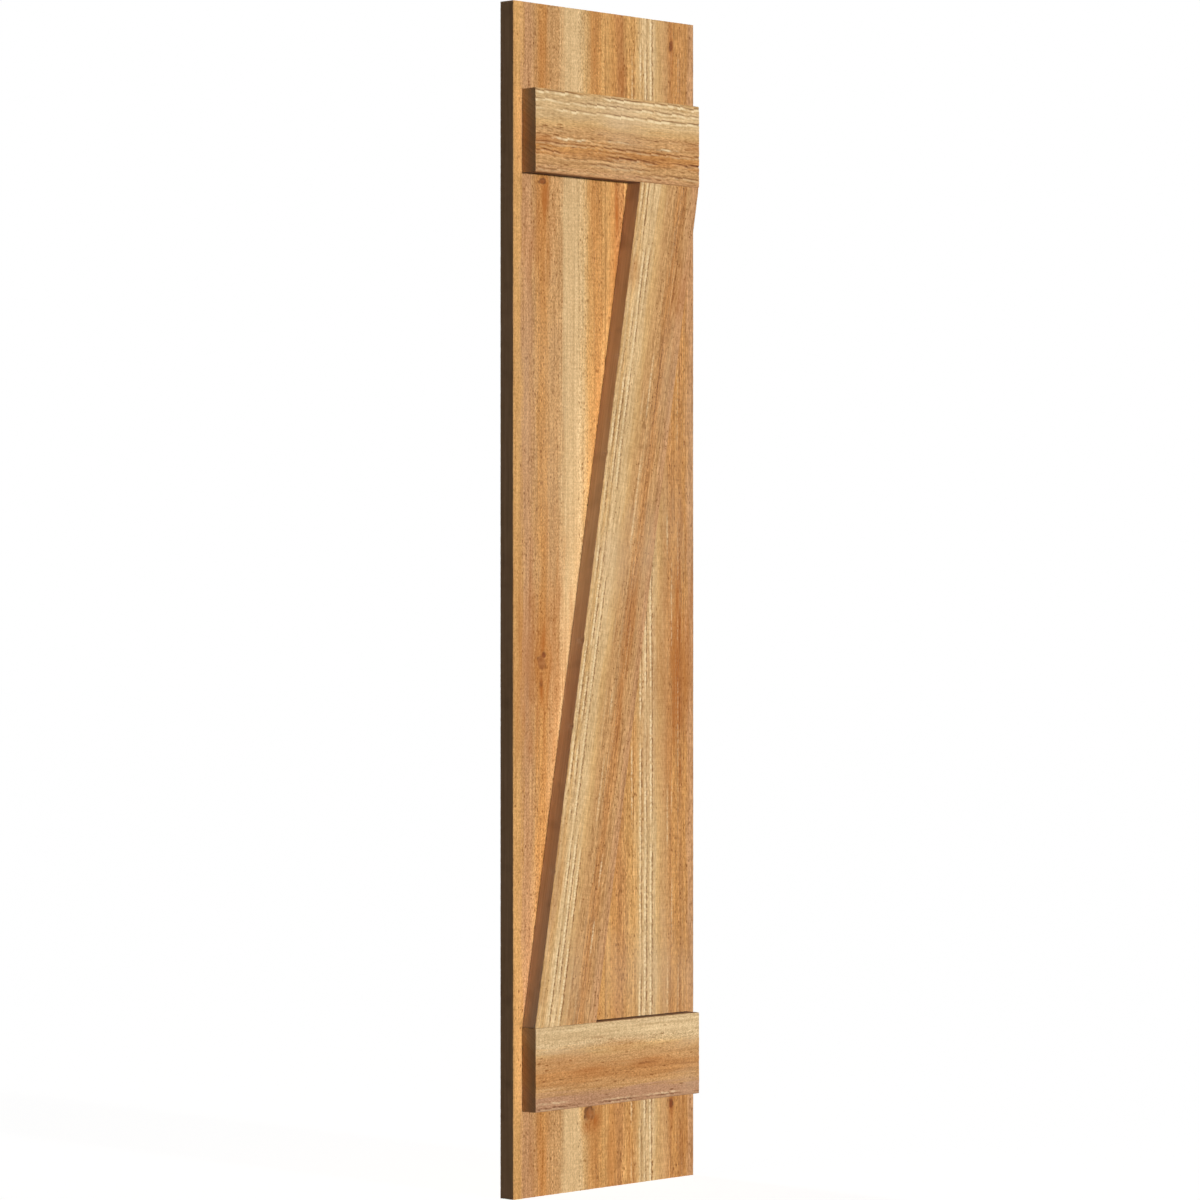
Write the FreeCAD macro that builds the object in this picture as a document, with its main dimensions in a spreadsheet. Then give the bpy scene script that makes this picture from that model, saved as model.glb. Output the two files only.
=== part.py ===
"""Board and batten shutter: two boards joined edge to edge, a batten across each end and a diagonal brace.

The battens and the brace are held by flat-head screws driven from the back, so that none shows on the front.

Frame, in millimetres: +Z up, +X to the right seen from the front, and the front faces -Y.
The origin is the centre of the back face, which lies against the wall.
"""

import FreeCAD
import Part
import Sketcher

import os
from collections import namedtuple
from enum import IntEnum

# Driving sizes: name, value in millimetres (degrees for the angle), and what it measures.
SIZES = [
    ("board_width", 136.525, "face width of each board, 5 3/8 in"),
    ("board_length", 1219.2, "height of the shutter, 48 in"),
    ("board_thickness", 19.05, "3/4 in"),
    ("batten_width", 85.725, "face width of each batten, 3 3/8 in"),
    ("batten_thickness", 19.05, "3/4 in, the same stock as the brace"),
    ("batten_end_inset", 12.7, "from each side of the shutter to the batten's end, 1/2 in"),
    ("batten_edge_offset", 88.9, "from the shutter's end to the batten's outer edge, 3 1/2 in"),
    ("brace_width", 88.9, "square across the brace, 3 1/2 in"),
    ("screw_head_diameter", 8.2, "flat head of a number 8 wood screw"),
    ("screw_head_angle", 82.0, "full angle of the head's cone"),
    ("screw_shank_diameter", 4.2, "plain shank inside the board"),
    ("screw_core_diameter", 3.0, "core of the threaded length inside the batten"),
    ("screw_bite", 12.7, "how far the tip reaches into the batten or brace"),
    ("screw_tip_length", 5.0, "tapered point"),
    ("screw_sink", 0.3, "head below the back face"),
    ("screw_clearance", 0.1, "radial gap between a screw and its hole"),
    ("recess_width", 2.6, "square drive recess in the head"),
    ("recess_depth", 2.0, "depth of the drive recess"),
    ("screw_end_margin", 24.0, "from the batten's end to its outer screws"),
    ("screw_seam_margin", 30.0, "from the joint of the two boards to the inner screws"),
    ("screw_edge_margin", 24.0, "from the batten's long edges to its screws"),
    ("brace_screw_margin", 60.0, "from the brace's ends to its first and last screws"),
]

# Places worked out from the sizes: name and formula.
# The brace's lower left corner meets one end of the bottom batten, and its upper right corner the other end
# of the top batten. Its lean is the angle from the vertical at which its width fits between those corners.
LAYOUT = [
    ("panel_width", "2 * Sizes.board_width"),
    ("batten_length", "panel_width - 2 * Sizes.batten_end_inset"),
    ("batten_centre", "Sizes.board_length / 2 - Sizes.batten_edge_offset - Sizes.batten_width / 2"),
    ("brace_rise", "2 * batten_centre - Sizes.batten_width"),
    ("brace_span", "sqrt(batten_length ^ 2 + brace_rise ^ 2)"),
    ("brace_lean", "acos(Sizes.brace_width / brace_span) - atan2(brace_rise; batten_length)"),
    ("brace_cut", "Sizes.brace_width / cos(brace_lean)"),
    ("head_slope", "tan(Sizes.screw_head_angle / 2 * 1 deg)"),
    ("head_height", "(Sizes.screw_head_diameter - Sizes.screw_shank_diameter) / 2 / head_slope"),
    ("countersink_growth", "2 * (Sizes.screw_clearance + Sizes.screw_sink * head_slope)"),
    ("countersink_diameter", "Sizes.screw_head_diameter + countersink_growth"),
    ("screw_outer", "batten_length / 2 - Sizes.screw_end_margin"),
    ("screw_inner", "Sizes.screw_seam_margin"),
    ("screw_stagger", "Sizes.batten_width / 2 - Sizes.screw_edge_margin"),
    ("brace_screw_outer", "brace_rise / 2 - Sizes.brace_screw_margin"),
    ("brace_screw_inner", "brace_screw_outer / 3"),
]

# Where each piece of timber stands: the middle of its back face.
PLACES = {
    "left_board": ("-Sizes.board_width / 2", "0", "0"),
    "right_board": ("Sizes.board_width / 2", "0", "0"),
    "top_batten": ("0", "-Sizes.board_thickness", "Layout.batten_centre"),
    "bottom_batten": ("0", "-Sizes.board_thickness", "-Layout.batten_centre"),
    "diagonal_brace": ("0", "-Sizes.board_thickness", "0"),
}

OUTPUT_FOLDER = "parts"

# A screw's node name, the board that it passes through, the piece that it bites into, and its place.
Screw = namedtuple("Screw", "name board held x z")

doc = FreeCAD.newDocument("shutter")


class Axis(IntEnum):
    """The numbers by which a constraint names a sketch's own axes."""

    X = -1
    Y = -2


class Point(IntEnum):
    """The numbers by which a constraint names a point of a line or a circle. An axis starts at the origin."""

    START = 1
    END = 2
    CENTRE = 3


def fill_sheet(name, rows):
    """A spreadsheet with one aliased value a row."""
    sheet = doc.addObject("Spreadsheet::Sheet", name)
    for number, (alias, value, *note) in enumerate(rows, start=1):
        sheet.set(f"A{number}", alias)
        sheet.set(f"B{number}", value)
        sheet.setAlias(f"B{number}", alias)
        sheet.set(f"C{number}", " ".join(note))
    doc.recompute()
    return sheet


def value_of(expression):
    """What an expression over the sheets comes to, in millimetres."""
    return float(sizes.evalExpression(expression))


def new_body(label, x, y, z):
    """An empty body placed at expressions over the sheets."""
    body = doc.addObject("PartDesign::Body", label)
    body.Label = label
    for axis, expression in (("x", x), ("y", y), ("z", z)):
        body.setExpression(f"Placement.Base.{axis}", expression)
    return body


def new_sketch(body, role):
    """A sketch on one of the body's own origin planes."""
    sketch = body.newObject("Sketcher::SketchObject", f"{body.Label}_{role}_sketch")
    plane = next(p for p in body.Origin.OriginFeatures if p.Role == role)
    sketch.AttachmentSupport = [(plane, "")]
    sketch.MapMode = "FlatFace"
    return sketch


def pin_point(sketch, element, point, x, y):
    """Holds a point of the sketch on an axis, or at an expression for its distance from it."""
    for kind, axis, expression in (("DistanceX", Axis.Y, x), ("DistanceY", Axis.X, y)):
        if expression == "0":
            sketch.addConstraint(Sketcher.Constraint("PointOnObject", element, point, axis))
        else:
            distance = Sketcher.Constraint(kind, Axis.X, Point.START, element, point, value_of(expression))
            sketch.setExpression(f"Constraints[{sketch.addConstraint(distance)}]", expression)


def draw_polygon(sketch, corners):
    """A closed outline whose corners are pairs of expressions."""
    points = [FreeCAD.Vector(value_of(x), value_of(y), 0) for x, y in corners]
    count = len(points)
    for start in range(count):
        sketch.addGeometry(Part.LineSegment(points[start], points[(start + 1) % count]))
    for line in range(count):
        following = (line + 1) % count
        sketch.addConstraint(Sketcher.Constraint("Coincident", line, Point.END, following, Point.START))
    for line, (x, y) in enumerate(corners):
        pin_point(sketch, line, Point.START, x, y)


def rectangle(width, height):
    """Corner expressions of a rectangle centred on the sketch's origin."""
    return [
        (f"-{width} / 2", f"-{height} / 2"),
        (f"{width} / 2", f"-{height} / 2"),
        (f"{width} / 2", f"{height} / 2"),
        (f"-{width} / 2", f"{height} / 2"),
    ]


def check_cut(body, volume_before):
    """A cut that points away from the solid removes nothing, so the volumes are compared."""
    if body.Shape.Volume >= volume_before:
        raise RuntimeError(f"{body.Label}: the cut removed nothing")


def new_plank(label, corners, thickness):
    """A flat piece of timber: its back on the body's XZ plane, its front towards -Y."""
    body = new_body(label, *PLACES[label])
    sketch = new_sketch(body, "XZ_Plane")
    draw_polygon(sketch, corners)
    pad = body.newObject("PartDesign::Pad", f"{label}_pad")
    pad.Profile = sketch
    pad.setExpression("Length", thickness)
    doc.recompute()
    return body


def mark_holes(body, screws, diameter):
    """A sketch on the back of a piece with a circle for each screw."""
    x_place, _, z_place = PLACES[body.Label]
    sketch = new_sketch(body, "XZ_Plane")
    for number, screw in enumerate(screws):
        x = f"{screw.x} - ({x_place})"
        z = f"{screw.z} - ({z_place})"
        middle = FreeCAD.Vector(value_of(x), value_of(z), 0)
        sketch.addGeometry(Part.Circle(middle, FreeCAD.Vector(0, 0, 1), value_of(diameter) / 2))
        pin_point(sketch, number, Point.CENTRE, x, z)
        across = sketch.addConstraint(Sketcher.Constraint("Diameter", number, value_of(diameter)))
        sketch.setExpression(f"Constraints[{across}]", diameter)
    doc.recompute()
    return sketch


def drill(body, screws, diameter, depth=None):
    """Screw holes into the back of a piece: blind to a depth, or right through and countersunk."""
    sketch = mark_holes(body, screws, diameter)
    volume_before = body.Shape.Volume
    hole = body.newObject("PartDesign::Hole", f"{body.Label}_holes")
    hole.Profile = sketch
    hole.Reversed = True
    doc.recompute()
    hole.ThreadType = "None"
    hole.DrillPoint = "Flat"
    hole.setExpression("Diameter", diameter)
    if depth:
        hole.DepthType = "Dimension"
        hole.setExpression("Depth", depth)
    else:
        hole.DepthType = "ThroughAll"
        hole.HoleCutType = "Countersink"
        hole.HoleCutCustomValues = True
        hole.setExpression("HoleCutDiameter", "Layout.countersink_diameter")
        hole.setExpression("HoleCutCountersinkAngle", "Sizes.screw_head_angle")
    doc.recompute()
    check_cut(body, volume_before)


def drill_pilots(body):
    """Blind holes for the threads of the screws that hold a piece."""
    biting = [screw for screw in screws if screw.held == body.Label]
    diameter = "Sizes.screw_core_diameter + 2 * Sizes.screw_clearance"
    drill(body, biting, diameter, "Sizes.screw_bite + Sizes.screw_clearance")


def make_board(label):
    """One of the two upright boards, countersunk from the back for the screws that pass through it."""
    board = new_plank(label, rectangle("Sizes.board_width", "Sizes.board_length"), "Sizes.board_thickness")
    passing = [screw for screw in screws if screw.board == label]
    drill(board, passing, "Sizes.screw_shank_diameter + 2 * Sizes.screw_clearance")
    return board


def make_batten(label):
    """A batten across the front of both boards."""
    outline = rectangle("Layout.batten_length", "Sizes.batten_width")
    batten = new_plank(label, outline, "Sizes.batten_thickness")
    drill_pilots(batten)
    return batten


def make_brace(label):
    """The diagonal between the battens, cut level at both ends and flush with their faces."""
    side = "Layout.batten_length / 2"
    end = "Layout.brace_rise / 2"
    outline = [
        (f"-{side}", f"-{end}"),
        (f"-{side} + Layout.brace_cut", f"-{end}"),
        (side, end),
        (f"{side} - Layout.brace_cut", end),
    ]
    brace = new_plank(label, outline, "Sizes.batten_thickness")
    drill_pilots(brace)
    return brace


def batten_screws(batten):
    """Four screws in a zigzag across a batten, two through each board."""
    height = PLACES[batten][2]
    zigzag = [
        ("left_board", "-Layout.screw_outer", "+"),
        ("left_board", "-Layout.screw_inner", "-"),
        ("right_board", "Layout.screw_inner", "+"),
        ("right_board", "Layout.screw_outer", "-"),
    ]
    return [
        Screw(f"{batten}_screw_{number}", board, batten, x, f"{height} {side} Layout.screw_stagger")
        for number, (board, x, side) in enumerate(zigzag, start=1)
    ]


def brace_screws(brace):
    """Four screws evenly along the middle of the brace, two through each board."""
    heights = [
        ("left_board", "-Layout.brace_screw_outer"),
        ("left_board", "-Layout.brace_screw_inner"),
        ("right_board", "Layout.brace_screw_inner"),
        ("right_board", "Layout.brace_screw_outer"),
    ]
    return [
        Screw(f"brace_screw_{number}", board, brace, f"{z} * tan(Layout.brace_lean)", z)
        for number, (board, z) in enumerate(heights, start=1)
    ]


def make_screw(screw):
    """A flat-head wood screw along Y, its head towards the wall."""
    body = new_body(screw.name, screw.x, "0", screw.z)
    head = "-Sizes.screw_sink"
    neck = f"{head} - Layout.head_height"
    shoulder = "-Sizes.board_thickness + Sizes.screw_clearance"
    tip = "-Sizes.board_thickness - Sizes.screw_bite"
    shank_radius = "Sizes.screw_shank_diameter / 2"
    core_radius = "Sizes.screw_core_diameter / 2"
    profile = [
        ("0", head),
        ("Sizes.screw_head_diameter / 2", head),
        (shank_radius, neck),
        (shank_radius, shoulder),
        (core_radius, shoulder),
        (core_radius, f"{tip} + Sizes.screw_tip_length"),
        ("0", tip),
    ]
    sketch = new_sketch(body, "XY_Plane")
    draw_polygon(sketch, profile)
    turned = body.newObject("PartDesign::Revolution", f"{screw.name}_turned")
    turned.Profile = sketch
    turned.ReferenceAxis = (sketch, ["V_Axis"])
    turned.Angle = 360
    doc.recompute()
    cut_recess(body)
    return body


def cut_recess(body):
    """The square drive recess in a screw's head."""
    sketch = new_sketch(body, "XZ_Plane")
    sketch.setExpression("AttachmentOffset.Base.z", "Sizes.screw_sink")
    draw_polygon(sketch, rectangle("Sizes.recess_width", "Sizes.recess_width"))
    volume_before = body.Shape.Volume
    recess = body.newObject("PartDesign::Pocket", f"{body.Label}_recess")
    recess.Profile = sketch
    recess.Reversed = True
    recess.setExpression("Length", "Sizes.recess_depth")
    doc.recompute()
    check_cut(body, volume_before)


def check_document(bodies):
    """Stops before anything is written if an object failed or a piece isn't one sound solid."""
    failed = [o.Name for o in doc.Objects if {"Invalid", "Error"} & set(o.State)]
    if failed:
        raise RuntimeError(f"objects that failed: {failed}")
    for body in bodies:
        shape = body.Shape
        if shape.isNull() or not shape.isValid() or len(shape.Solids) != 1:
            raise RuntimeError(f"{body.Label} isn't one sound solid")


sizes = fill_sheet("Sizes", [(alias, str(value), note) for alias, value, note in SIZES])
layout = fill_sheet("Layout", [(alias, f"={formula}") for alias, formula in LAYOUT])

screws = [
    *batten_screws("top_batten"),
    *batten_screws("bottom_batten"),
    *brace_screws("diagonal_brace"),
]
bodies = [
    make_board("left_board"),
    make_board("right_board"),
    make_batten("top_batten"),
    make_batten("bottom_batten"),
    make_brace("diagonal_brace"),
    *[make_screw(screw) for screw in screws],
]
doc.recompute()
check_document(bodies)

os.makedirs(OUTPUT_FOLDER, exist_ok=True)
for body in bodies:
    body.Shape.exportStep(os.path.join(OUTPUT_FOLDER, f"{body.Label}.step"))
    print(body.Label, "volume in cubic millimetres:", round(body.Shape.Volume, 1))
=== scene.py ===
"""Board and batten shutter in rough-sawn cedar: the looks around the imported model.

Every plank is a closed mesh with its own saw marks, torn grain, knots and chipped edges, cut into the
plank's CAD size and never standing out of it. Its figure is written down in the plank's own coordinates,
in millimetres: across the grain from one long edge, and along the grain from the middle.
"""

import math
from collections import namedtuple

import bpy
import numpy as np
from mathutils import Matrix, Vector
from mathutils.geometry import delaunay_2d_cdt


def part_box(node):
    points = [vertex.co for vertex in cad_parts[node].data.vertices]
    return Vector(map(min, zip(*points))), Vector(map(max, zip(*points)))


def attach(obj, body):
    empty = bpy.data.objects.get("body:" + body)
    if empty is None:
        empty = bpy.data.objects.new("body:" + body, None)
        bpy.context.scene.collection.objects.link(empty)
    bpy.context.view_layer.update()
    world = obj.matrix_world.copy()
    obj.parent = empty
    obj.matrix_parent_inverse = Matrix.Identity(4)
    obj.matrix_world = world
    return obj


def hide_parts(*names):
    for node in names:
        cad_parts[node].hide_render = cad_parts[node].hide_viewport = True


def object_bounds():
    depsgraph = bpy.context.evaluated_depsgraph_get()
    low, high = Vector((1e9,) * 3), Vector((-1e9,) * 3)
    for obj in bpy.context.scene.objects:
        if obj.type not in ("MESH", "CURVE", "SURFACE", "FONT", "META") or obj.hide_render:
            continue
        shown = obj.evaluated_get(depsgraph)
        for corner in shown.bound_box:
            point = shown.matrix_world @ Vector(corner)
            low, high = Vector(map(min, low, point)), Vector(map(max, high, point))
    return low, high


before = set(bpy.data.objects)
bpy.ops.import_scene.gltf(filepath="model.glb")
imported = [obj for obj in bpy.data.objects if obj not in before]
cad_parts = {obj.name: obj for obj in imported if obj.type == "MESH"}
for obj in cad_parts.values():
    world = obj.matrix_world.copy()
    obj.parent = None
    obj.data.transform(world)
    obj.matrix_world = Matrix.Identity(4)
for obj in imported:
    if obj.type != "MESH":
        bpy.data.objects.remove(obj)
cad_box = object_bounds()

MM = 0.001

# The camera, fitted to the corners of the shutter in the photograph.
CAMERA_YAW = math.radians(46.664)
CAMERA_DISTANCE = 4.6266
CAMERA_SIDESTEP = -0.00607
CAMERA_FOCAL_PIXELS = 4457.0
PHOTO_PIXELS = 1200
SENSOR_WIDTH = 36.0

# Light: a soft frontal key, a little from above, and an even fill. Together they come to about 1.
# A weaker lamp behind lights the back.
KEY_LEVEL = 0.88
KEY_ELEVATION = math.radians(2.5)
BACK_LEVEL = 0.7
BACK_ELEVATION = math.radians(6.0)
LAMP_SOFTNESS = math.radians(4.0)
FILL_LEVEL = 0.10
FLOOR_GLOW = 0.915
FLOOR_SHADE = 0.4
FLOOR_SIZE = 40.0

# Light thrown back onto the panel by the left-hand walls of the brace and battens.
BOUNCE_LEVEL = 0.76
BOUNCE_COLOUR = (1.0, 0.93, 0.83)
BOUNCE_OFFSET = 0.001

# The width of the brace across its grain. Its box gives the rest.
BRACE_WIDTH = 0.0889
# Chips in the brace's left edge: place along it and depth, in millimetres.
BRACE_CHIPS = [(146, 1.2), (-50, 1.6), (-139, 1.3), (250, 0.9), (-290, 1.0)]

# Screw holes in the boards' back.
COUNTERSINK_RADIUS = 4.5 * MM
NECK_RADIUS = 2.2 * MM
NECK_DEPTH = 2.7 * MM
HOLE_SIDES = 28

# Steps of the front faces' grids, across and along the grain. The rows lie closer beside knots.
BOARD_CELL = (0.8 * MM, 2.8 * MM)
BATTEN_CELL = (0.55 * MM, 1.1 * MM)
BRACE_CELL = (0.6 * MM, 1.9 * MM)
KNOT_REACH = 12 * MM
KNOT_ROW_STEP = 0.8 * MM
SIDE_ROWS = 4


def linear(hex_colour):
    """A colour as Cycles wants it, from the usual hexadecimal form."""
    channels = [int(hex_colour[i : i + 2], 16) / 255 for i in (0, 2, 4)]
    return tuple(c / 12.92 if c <= 0.04045 else ((c + 0.055) / 1.055) ** 2.4 for c in channels) + (1.0,)


# The colours of western red cedar, sapwood to heartwood.
BUTTER = linear("d8b888")
CREAM = linear("d6b27f")
STRAW = linear("d1a66c")
GOLD = linear("cf9b5b")
TAN = linear("c5955f")
AMBER = linear("c88f4f")
BROWN = linear("bc844b")
ROSE = linear("c08e5f")
CLAY = linear("b48662")

# The colours of its marks, with a painted highlight beside torn grain and a painted shade in the battens'
# corners.
RUST = linear("aa601c")
UMBER = linear("5e3414")
# A painted highlight beside each torn line.
PAINTED_LIP_HIGHLIGHT = linear("f8dfb0")
KNOT_HEART = linear("78360a")
ASH = linear("c9a985")
# Painted shade where the battens' edges meet the boards.
PAINTED_CORNER_SHADE = linear("1e120a")

# The tones of edges and ends, and of the screws. The edges' tones are partly painted light and shade: the
# brace's edge is painted paler, and the boards' and battens' edges darker.
BOARD_EDGE = linear("a98462")
BATTEN_EDGE = linear("8a5f42")
BRACE_EDGE = linear("dab89d")
BOARD_END = linear("b98a5c")
TRIM_END = linear("bf9872")
ZINC_DULL = linear("6a665b")
ZINC_BRIGHT = linear("938e80")

# How strongly red, green and blue follow when the wood turns darker or paler.
SHADE_PULL = (1.0, 1.2, 1.5)
# What is left of the wood's colour in torn grain, dark fibre and painted shadow together, and in flecks.
TORN_SHADE = (0.32, 0.20, 0.12, 1.0)
FLECK_SHADE = (0.56, 0.45, 0.33, 1.0)
# Between which strengths of torn grain, or of its painted highlight, the colour sets in.
CRISP = (0.12, 0.7)
# Where the edges of the battens darken towards the boards as painted shade, in millimetres below the front.
CORNER_DEPTHS = (3.0, 19.0)

# A plank's figure. Places and sizes are in millimetres, and strengths run from 0 to 1.
# bands: colours across the grain, each as (place, colour).
# sway: the shorter waves of the grain.
# torn: lines of torn grain, dark from torn fibre and from painted shadow. A pale painted highlight lies at
# lip_offset from each, and its strokes slant by the wobble.
# dash, faintest: a torn line is broken into dashes of this length, and this faint between them.
# fibre, streaks: the length of the finest streaks, and the strength of the longer ones.
# flecks: zones of short dark flecks, each as (from, to, density).
# knots, rust, ash: single marks. seed: where the plank's random patterns start.
Figure = namedtuple(
    "Figure",
    "bands sway torn lip_offset wobble dash faintest fibre streaks flecks knots rust ash seed",
)
# Sway: how far it reaches sideways, and the length of a wave.
Sway = namedtuple("Sway", "reach length")
# Torn grain: its place, how dark it is with torn fibre and painted shadow, how pale its painted highlight,
# how steadily it runs, and from where to where.
Torn = namedtuple("Torn", "place dark pale steady low high", defaults=(-1000, 1000))
# Knot: its place, half width and half length, how red the grain is around it, and how dark its heart is.
Knot = namedtuple("Knot", "across along half_width half_length redness darkness")
# Patch: a soft cloud of rust or ash colour, with its place, half sizes and strength.
Patch = namedtuple("Patch", "across along half_width half_length strength")

STEADY_SWAY = Sway(0.3, 38)
LIVELY_SWAY = Sway(1.1, 22)
RIPPLE_LIP = 0.6
RIPPLE_STEADINESS = 0.45


def ripples(start, pitch, count, dark):
    """A run of fine torn lines side by side."""
    return [Torn(start + pitch * k, dark, RIPPLE_LIP * dark, RIPPLE_STEADINESS) for k in range(count)]


def torn_set(places, *traits):
    """Torn lines that are alike but for their places."""
    return [Torn(place, *traits) for place in places]


LEFT_BOARD = Figure(
    bands=[
        (0, GOLD), (9, GOLD), (16, ROSE), (24, ROSE), (31, TAN), (38, AMBER), (46, AMBER), (54, TAN),
        (66, TAN), (77, CREAM), (99, CREAM), (108, STRAW), (114, GOLD), (121, AMBER), (129, AMBER),
        (133, GOLD), (136, GOLD),
    ],
    sway=STEADY_SWAY,
    torn=ripples(113, 3.4, 6, 0.3),
    lip_offset=-3.0,
    wobble=0.4,
    dash=5,
    faintest=0.2,
    fibre=2.5,
    streaks=0.19,
    flecks=[
        (0, 12, 0.3), (12, 28, 0.6), (28, 48, 0.9), (48, 72, 0.7), (72, 96, 0.1), (96, 112, 0.7),
        (112, 136, 0.5),
    ],
    knots=[
        Knot(42, 428, 5, 2.8, 0.6, 0.8),
        Knot(41, -64, 6.0, 7.5, 0.5, 0.6),
        Knot(112, -531, 6.5, 6.5, 0.9, 0.55),
        Knot(44, -57, 3.0, 3.2, 0.5, 1.0),
        Knot(40.5, -82, 1.4, 9.0, 0.3, 0.35),
    ],
    rust=[
        Patch(46, 410, 7, 22, 1.0), Patch(40, 380, 16, 60, 0.45), Patch(43, -44, 5, 17, 1.0),
        Patch(41, -92, 5, 22, 1.0), Patch(36, -60, 40, 75, 0.55), Patch(42, 560, 7, 40, 0.45),
        Patch(118, 560, 7, 60, 0.35), Patch(118, 400, 6, 50, 0.3), Patch(121, -539, 10, 14, 1.0),
        Patch(110, -545, 9, 8, 0.8), Patch(56, -300, 9, 90, 0.3), Patch(39, -575, 10, 50, 0.5),
        Patch(114, -575, 6, 40, 0.4),
    ],
    ash=[
        Patch(18, 200, 8, 120, 0.5), Patch(50, 120, 22, 100, 0.35), Patch(20, -30, 6, 90, 0.4),
        Patch(48, 245, 40, 60, 0.3),
    ],
    seed=11,
)
RIGHT_BOARD = Figure(
    bands=[
        (0, GOLD), (4, GOLD), (9, AMBER), (13, AMBER), (18, BROWN), (25, BROWN), (33, GOLD), (42, GOLD),
        (51, STRAW), (58, CREAM), (73, CREAM), (80, STRAW), (91, TAN), (100, BROWN), (107, AMBER),
        (115, BROWN), (122, AMBER), (130, ROSE), (136, ROSE),
    ],
    sway=STEADY_SWAY,
    torn=[
        Torn(43, 0.6, 0.6, 0.6),
        Torn(55.7, 1.0, 0.9, 0.85),
        Torn(63.4, 0.9, 1.0, 0.8),
        Torn(71.9, 1.0, 1.0, 0.95),
        Torn(97.8, 0.3, 0.5, 0.3, -600, 100),
        Torn(104.6, 0.2, 0.45, 0.25, -450, 60),
        Torn(114.5, 0.6, 0.3, 0.8),
        *ripples(101, 3.3, 8, 0.35),
    ],
    lip_offset=-3.0,
    wobble=0.4,
    dash=5,
    faintest=0.2,
    fibre=5.0,
    streaks=0.24,
    flecks=[(0, 14, 0.4), (14, 46, 0.8), (46, 76, 0.4), (76, 94, 0.2), (94, 136, 0.6)],
    knots=[Knot(101, 585, 2.5, 5.5, 1.0, 0.9), Knot(101, -531, 3.2, 5.0, 1.0, 1.0)],
    rust=[
        Patch(25, 545, 9, 18, 0.5), Patch(17, 398, 3, 24, 1.0), Patch(17, 350, 6, 50, 0.4),
        Patch(110, -75, 9, 90, 0.95), Patch(120, -65, 17, 75, 0.6), Patch(102, 570, 4, 36, 0.6),
        Patch(79, -85, 19, 65, 0.35), Patch(112, 60, 6, 70, 0.2), Patch(22, 590, 5, 25, 0.35),
        Patch(75, -155, 60, 50, 0.25), Patch(8, -575, 8, 50, 0.45), Patch(36, -575, 8, 50, 0.5),
        Patch(118, -570, 10, 40, 0.3),
    ],
    ash=[Patch(108, 75, 14, 55, 0.5), Patch(130, 120, 8, 120, 0.4), Patch(68, -390, 110, 45, 0.6)],
    seed=23,
)
TOP_BATTEN = Figure(
    bands=[
        (0, STRAW), (8, CREAM), (27, CREAM), (34, STRAW), (42, TAN), (52, TAN), (58, AMBER), (65, BROWN),
        (70, TAN), (78, TAN), (85, ROSE),
    ],
    sway=LIVELY_SWAY,
    torn=[
        Torn(3.6, 0.65, 0.8, 0.9),
        Torn(11.6, 0.55, 0.8, 0.9),
        Torn(20, 0.65, 0.9, 0.95),
        Torn(8, 0.3, 0.3, 0.4),
        Torn(15.5, 0.35, 0.4, 0.4),
        Torn(41, 0.4, 0.2, 0.5),
        Torn(48, 0.1, 1.0, 0.8, -92, -46),
        Torn(48.5, 0.1, 0.9, 0.7, 62, 108),
        Torn(46, 0.2, 0.5, 0.5, -30, 50),
        Torn(55, 0.6, 0.3, 0.7),
        Torn(63.6, 1.0, 0.4, 0.9),
        *ripples(68.5, 4.2, 4, 0.5),
        *ripples(51, 4.1, 3, 0.4),
    ],
    lip_offset=1.9,
    wobble=0.7,
    dash=14,
    faintest=0.6,
    fibre=5.0,
    streaks=0.25,
    flecks=[(0, 36, 0.2), (36, 85, 0.6)],
    knots=[],
    rust=[Patch(52, -118, 5, 22, 0.6), Patch(57, 40, 7, 90, 0.3), Patch(44, 118, 6, 16, 0.4)],
    ash=[Patch(22, 2, 30, 26, 0.8), Patch(72, 6, 10, 24, 0.5)],
    seed=37,
)
BOTTOM_BATTEN = Figure(
    bands=[
        (0, BUTTER), (21, BUTTER), (28, STRAW), (34, TAN), (41, TAN), (48, BROWN), (57, BROWN), (66, TAN),
        (73, CLAY), (85, CLAY),
    ],
    sway=STEADY_SWAY,
    torn=[
        Torn(48, 0.5, 0.1, 0.6, -70, -10),
        Torn(47, 0.5, 0.1, 0.6, 22, 58),
        Torn(82.5, 0.7, 0.3, 0.6),
        Torn(76, 0.1, 0.5, 0.6, -124, -75),
        Torn(79, 0.1, 0.5, 0.6, -25, 124),
        Torn(4, 0.3, 0.3, 0.5),
        Torn(8.5, 0.3, 0.3, 0.4),
        *ripples(33, 9.5, 4, 0.25),
    ],
    lip_offset=1.9,
    wobble=0.6,
    dash=9,
    faintest=0.4,
    fibre=2.5,
    streaks=0.16,
    flecks=[(0, 17, 0.15), (17, 28, 0.7), (28, 72, 0.4), (72, 85, 0.3)],
    knots=[],
    rust=[
        Patch(48, -45, 6, 35, 0.5), Patch(47, 40, 5, 22, 0.5), Patch(38, -80, 12, 40, 0.25),
        Patch(24, 0, 6, 40, 0.35),
    ],
    ash=[Patch(72, 110, 16, 16, 0.5), Patch(26, -85, 5, 40, 0.8), Patch(28, 110, 6, 22, 0.8)],
    seed=41,
)
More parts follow.
